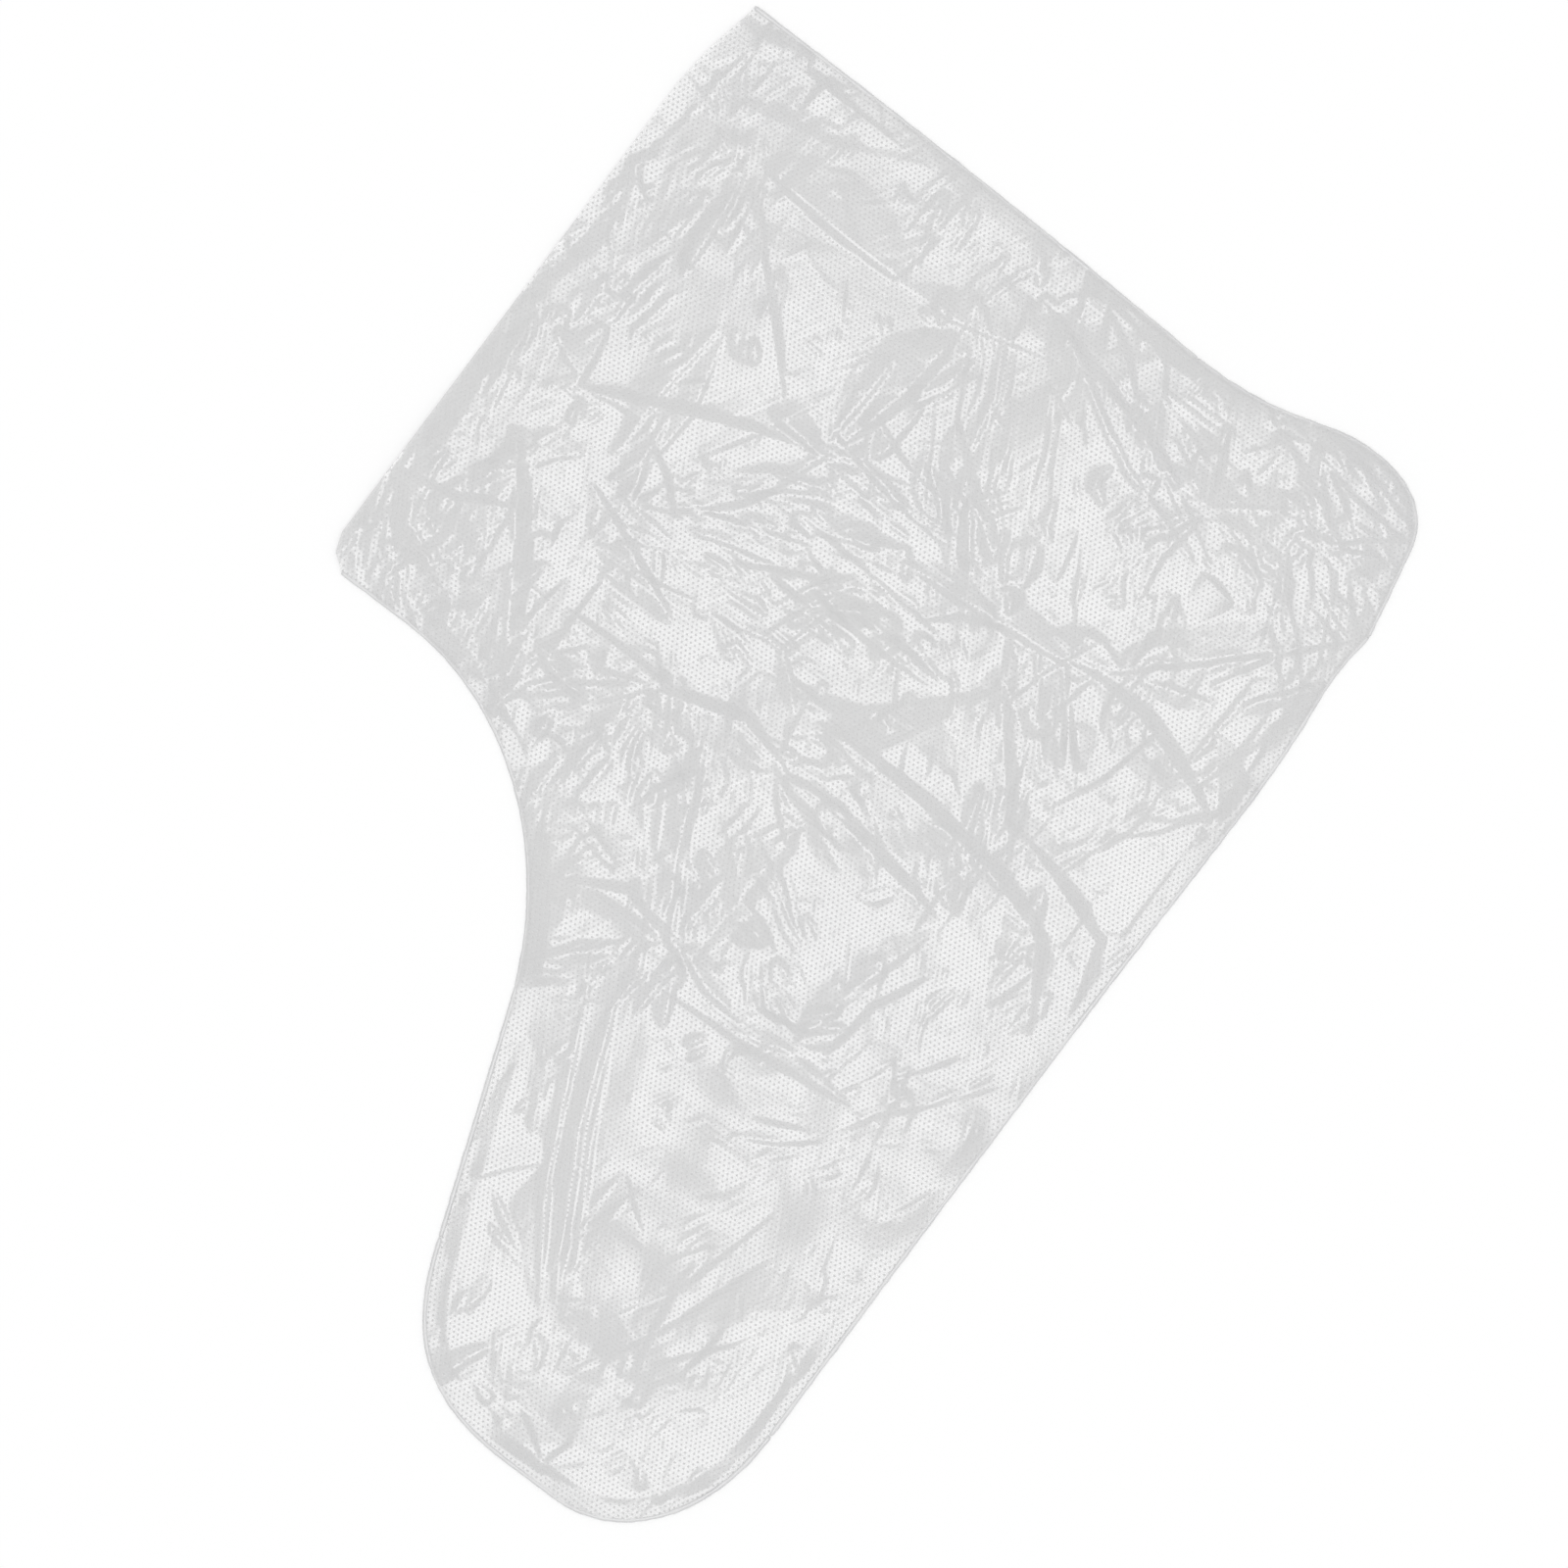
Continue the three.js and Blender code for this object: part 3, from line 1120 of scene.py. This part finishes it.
def mesh_object(
    name: str, points: np.ndarray, quads: np.ndarray, material: bpy.types.Material
) -> bpy.types.Object:
    """Makes a smooth-shaded object of quads.

    Args:
        name: the object's name.
        points: its corners, in millimetres.
        quads: rows of four corner numbers.
        material: what it is dressed in.

    Returns:
        The object, linked into the scene.
    """
    mesh = bpy.data.meshes.new(name)
    mesh.vertices.add(len(points))
    mesh.vertices.foreach_set("co", (points * MM).astype(np.float32).ravel())
    mesh.loops.add(quads.size)
    mesh.loops.foreach_set("vertex_index", quads.astype(np.int32).ravel())
    mesh.polygons.add(len(quads))
    mesh.polygons.foreach_set("loop_start", (4 * np.arange(len(quads))).astype(np.int32))
    mesh.update(calc_edges=True)
    mesh.validate()
    mesh.polygons.foreach_set("use_smooth", np.ones(len(mesh.polygons), bool))
    mesh.materials.append(material)
    made = bpy.data.objects.new(name, mesh)
    bpy.context.scene.collection.objects.link(made)
    return made


def corners_of(grid: np.ndarray) -> tuple[np.ndarray, ...]:
    """The values at the four corners of each of a grid's cells, in order round the cell."""
    return grid[:-1, :-1], grid[1:, :-1], grid[1:, 1:], grid[:-1, 1:]


@dataclass
class FilmPair:
    """The two films, crumpled on one grid so that neither passes through the other.

    Attributes:
        outline: the cover's outline.
        pitch: the size of a mesh cell, in millimetres.
        weld_height: how high the weld stands.
        puff: how far the near film's loose middle stands over the far film.
        puff_run: how far in from the weld that takes.
        droop: how wide the strip is that hangs down at the mouth.
        sway: how much the near film undulates over the foot, where it is slacker than up the leg.
        gap: the least room between the films.
        held_run: how far in from the weld the films are held down by it.
        least_hold: how much of the crumpling is left right at the weld.
        far_lift: how high the far film's middle stands off the table.
        floor_gap: the least room under the far film.
        rim_share: how high the near film's rim lies, as a share of the weld's height.
        ankle: the place along X from which the near film gets slacker towards the toe.
        slack_run: how far it goes on getting slacker.
        least_slack: how much it undulates up the leg, as a share of how much at the toe.
        swell_size: the size of the broad swells that vary its loft.
        sway_size: the size of its undulations.
        droop_size: the size of the bends in the drooping strip's edge.
        measure_step: the step between the points that distances to the edge are taken from.
    """

    outline: Outline
    pitch: float = 0.5
    weld_height: float = 0.7
    puff: float = 1.0
    puff_run: float = 46.0
    droop: float = 8.0
    sway: float = 0.32
    gap: float = 0.12
    held_run: float = 6.0
    least_hold: float = 0.25
    far_lift: float = 0.45
    floor_gap: float = 0.05
    rim_share: float = 0.85
    ankle: float = 15.0
    slack_run: float = 60.0
    least_slack: float = 0.15
    swell_size: float = 60.0
    sway_size: float = 15.0
    droop_size: float = 25.0
    measure_step: float = 3.0

    def __post_init__(self) -> None:
        """Lays out the grid and works out how far each place is from the weld and the mouth."""
        edge = self.outline.film_edge(self.outline.weld_width / 2)
        low, high = edge.min(axis=0) - 2 * self.pitch, edge.max(axis=0) + 2 * self.pitch
        self.near = CrumpleField(low, high, self.pitch)
        self.far = CrumpleField(low, high, self.pitch)
        points = np.stack([self.near.x.ravel(), self.near.y.ravel()], axis=1)
        shape = self.near.x.shape
        self.is_inside = inside(points, edge).reshape(shape)
        self.edge = edge
        weld = resampled(self.outline.welded(), self.measure_step)
        mouth = resampled(self.outline.mouth, self.measure_step)
        self.to_weld = distance_to(points, weld)[0].reshape(shape)
        self.to_mouth = distance_to(points, mouth)[0].reshape(shape)

    def crumple(self) -> None:
        """Works out both films' heights."""
        draw = np.random.default_rng(FILM_SEED)
        for facets in NEAR_FACETS:
            self.near.height += facets.heights(self.near, draw)
        for crease in MAIN_CREASES:
            self.near.add_crease(crease)
        for knot in KNOTS:
            for crease in knot.creases(draw):
                self.near.add_crease(crease)
        for size in NEAR_WRINKLES:
            for crease in size.creases(self.outline, draw):
                self.near.add_crease(crease)
        for facets in FAR_FACETS:
            self.far.height += facets.heights(self.far, draw)
        for size in FAR_WRINKLES:
            for crease in size.creases(self.outline, draw):
                self.far.add_crease(crease)
        held = np.clip(self.to_weld / self.held_run, 0.0, 1.0)
        hold = self.least_hold + (1 - self.least_hold) * held
        far = self.far.softened(1) * hold
        far = (far + self.far_lift) * np.clip(self.to_weld / self.held_run, 0.05, 1.0)
        self.far.height = np.maximum(far, 0.0) + self.floor_gap
        rim = self.rim_share * self.weld_height
        near = rim + self.loft(held, draw) + self.near.softened(1) * hold
        self.near.height = np.maximum(near, self.far.height + self.gap)

    def loft(self, held: np.ndarray, draw: np.random.Generator) -> np.ndarray:
        """How far the near film stands over the weld, before it is crumpled.

        Args:
            held: how free of the weld each place is, from 0 to 1.
            draw: where the random swells come from.

        Returns:
            The height at each of the grid's places, in millimetres.
        """
        x, y = self.near.x, self.near.y
        inwards = 1 - np.clip(self.to_weld / self.puff_run, 0.0, 1.0)
        loft = self.puff * (1 - inwards**2) ** 0.9
        for swell in NEAR_SWELLS:
            loft += swell.heights(x, y) * (1 - inwards**2)
        loft *= 1 + 0.15 * smooth_noise(x, y, self.swell_size, draw)
        slack = np.clip((self.ankle - x) / self.slack_run, 0.0, 1.0)
        slack = self.least_slack + (1 - self.least_slack) * slack
        loft += self.sway * slack * smooth_noise(x, y, self.sway_size, draw) * held
        strip = self.droop * (1 + 0.3 * smooth_noise(x, y, self.droop_size, draw))
        drop = 1 - np.clip(self.to_mouth / strip, 0.0, 1.0)
        return loft * (1 - 0.9 * drop**1.3)

    def sheet(self, side: Side, finish: FilmFinish) -> bpy.types.Object:
        """Makes one of the films.

        Args:
            side: which film.
            finish: what it is made of.

        Returns:
            The film's object.
        """
        grid = self.near if side is Side.NEAR else self.far
        every = slice(None, None, 1 if side is Side.NEAR else 2)
        corners = corners_of(self.is_inside[every, every])
        cells = sum(corner.astype(int) for corner in corners) >= 2
        around = corners_of(np.pad(cells, 1))
        used = np.logical_or.reduce(around)
        rim = used & ~np.logical_and.reduce(around)
        points = np.stack([v[every, every] for v in (grid.x, grid.y, grid.height)], axis=-1)
        ring = np.vstack([self.edge, self.edge[:1]])
        drawn_in = points[rim]
        drawn_in[:, :2] = distance_to(drawn_in[:, :2], ring)[1]
        points[rim] = drawn_in
        number = np.full(used.shape, -1)
        number[used] = np.arange(used.sum())
        quads = np.stack([corner[cells] for corner in corners_of(number)], axis=1)
        made = mesh_object(side.value + "_sheet", points[used], quads, finish.material())
        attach(made, BODY)
        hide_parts(side.value)
        return made


@dataclass
class WeldBead:
    """One stretch of the melted edge, as a flattened bead with ripples from the cutting blade.

    Attributes:
        node: the CAD node that it stands for.
        run: the outline's outer edge there, in millimetres.
        width: how wide it is.
        height: how high it stands.
        sides: how many corners its section has.
        ripple_wide: how much its width varies, as a share.
        ripple_high: how much its height varies.
        end_share: how much of its size is left at its ends.
        roundness: how round its section is, from 0 for square to 1 for round.
    """

    node: str
    run: np.ndarray
    width: float
    height: float
    sides: int = 10
    ripple_wide: float = 0.16
    ripple_high: float = 0.12
    end_share: float = 0.6
    roundness: float = 0.8

    def build(self, dress: bpy.types.Material, draw: np.random.Generator) -> bpy.types.Object:
        """Sweeps the bead's section along the edge.

        Args:
            dress: the material that all the beads share.
            draw: where its ripples come from.

        Returns:
            The bead's object.
        """
        centre = shifted_left(self.run, self.width / 2)
        along = directions(self.run)
        across = np.stack([-along[:, 1], along[:, 0]], axis=1)
        count = len(centre)
        ripple = np.convolve(draw.normal(0, 1, count + 8), np.ones(5) / 5, "valid")[:count]
        wide = self.width / 2 * (1 + self.ripple_wide * ripple)
        high = self.height / 2 * (1 + self.ripple_high * np.roll(ripple, 7))
        wide[[0, -1]] *= self.end_share
        high[[0, -1]] *= self.end_share
        turns = math.tau * np.arange(self.sides) / self.sides
        lie = np.sign(np.cos(turns)) * np.abs(np.cos(turns)) ** self.roundness
        lift = np.sign(np.sin(turns)) * np.abs(np.sin(turns)) ** self.roundness
        flat = centre[:, None, :] + (wide[:, None] * lie)[:, :, None] * across[:, None, :]
        tall = self.height / 2 + high[:, None] * lift
        points = np.concatenate([flat, np.maximum(tall, 0.0)[:, :, None]], axis=2).reshape(-1, 3)
        rows = np.arange(count - 1)[:, None] * self.sides
        k = np.arange(self.sides)[None, :]
        n = (k + 1) % self.sides
        beyond = rows + self.sides
        quads = np.stack([rows + k, rows + n, beyond + n, beyond + k], axis=-1)
        made = mesh_object(self.node + "_bead", points, quads.reshape(-1, 4), dress)
        shape = bmesh.new()
        shape.from_mesh(made.data)
        ends = [e for e in shape.edges if e.is_boundary]
        bmesh.ops.holes_fill(shape, edges=ends, sides=self.sides)
        bmesh.ops.recalc_face_normals(shape, faces=shape.faces)
        shape.to_mesh(made.data)
        shape.free()
        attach(made, BODY)
        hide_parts(self.node)
        return made


# ---------------------------------------------------------------------------------------------
# Studio
# ---------------------------------------------------------------------------------------------


@dataclass
class Studio:
    """A white floor, even daylight, one wide soft lamp straight overhead and the camera.

    Attributes:
        view_width: how much of the floor the camera sees, in metres.
        centre: the point of the floor in the middle of the view, in metres.
        roll: how the camera is turned about the line that it looks along, in degrees.
        lens: the camera's focal length, in millimetres.
        sensor: how wide the camera's sensor is, in millimetres.
        farthest: how far the camera sees, in metres.
        daylight: the strength of the even light.
        lamp_width: how wide the lamp looks from the cover, in degrees.
        lamp_strength: how much light it gives the floor, in watts a square metre.
        lamp_lean: how far off straight down it shines, about X and Y, in degrees.
        lamp_height: how high it hangs, in metres.
        floor_half: half the floor's width, in millimetres.
        floor_drop: how far the floor lies under the cover, in millimetres.
    """

    view_width: float = 0.4006
    centre: tuple[float, float] = (0.0115, -0.01525)
    roll: float = -53.2
    lens: float = 250.0
    sensor: float = 36.0
    farthest: float = 20.0
    daylight: float = 0.75
    lamp_width: float = 21.0
    lamp_strength: float = 0.95
    lamp_lean: tuple[float, float] = (2.5, -1.5)
    lamp_height: float = 2.0
    floor_half: float = 6000.0
    floor_drop: float = 0.02

    def build(self) -> None:
        """Makes the floor, the lights and the camera."""
        self.floor()
        self.lights()
        self.camera()
        bpy.context.scene.view_settings.view_transform = "Standard"

    def floor(self) -> None:
        """Lays a wide white floor under the cover."""
        half, low = self.floor_half, -self.floor_drop
        corners = np.array(
            [(-half, -half, low), (half, -half, low), (half, half, low), (-half, half, low)]
        )
        floor = mesh_object("floor", corners, np.array([[0, 1, 2, 3]]), FloorFinish().material())

    def lights(self) -> None:
        """Lights the scene evenly, with one soft lamp for the film's glints."""
        world = bpy.data.worlds.new("daylight")
        world.use_nodes = True
        background = world.node_tree.nodes["Background"]
        background.inputs["Color"].default_value = (1.0, 1.0, 1.0, 1.0)
        background.inputs["Strength"].default_value = self.daylight
        bpy.context.scene.world = world
        lamp = bpy.data.lights.new("overhead_lamp", "SUN")
        lamp.angle = math.radians(self.lamp_width)
        lamp.energy = self.lamp_strength
        holder = bpy.data.objects.new("overhead_lamp", lamp)
        holder.location = (*self.centre, self.lamp_height)
        lean_x, lean_y = map(math.radians, self.lamp_lean)
        holder.rotation_euler = (lean_x, lean_y, 0.0)
        bpy.context.scene.collection.objects.link(holder)

    def camera(self) -> None:
        """Hangs the camera straight over the cover."""
        data = bpy.data.cameras.new("camera")
        data.lens = self.lens
        data.sensor_width = self.sensor
        holder = bpy.data.objects.new("camera", data)
        away = self.view_width * self.lens / self.sensor
        holder.location = (*self.centre, away)
        holder.rotation_euler = (0.0, 0.0, math.radians(self.roll))
        data.clip_end = self.farthest
        bpy.context.scene.collection.objects.link(holder)
        bpy.context.scene.camera = holder


def main() -> None:
    """Builds the whole scene, piece by piece."""
    logging.basicConfig(level=logging.INFO, format="%(name)s: %(message)s")
    Studio().build()
    outline = Outline()
    low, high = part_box("sole_weld")
    weld_height = (high.z - low.z) / MM
    films = FilmPair(outline, weld_height=weld_height)
    films.crumple()
    sheets = {side: films.sheet(side, FilmFinish(side.value)) for side in Side}
    for side, made in sheets.items():
        log.info("%s: %d faces", made.name, len(made.data.polygons))
    draw = np.random.default_rng(BEAD_SEED)
    dress = WeldFinish().material()
    for node, run in outline.runs.items():
        bead = WeldBead(node, run, outline.weld_width, weld_height).build(dress, draw)
        log.info("%s: %d faces", bead.name, len(bead.data.polygons))


if __name__ == "__main__":
    main()
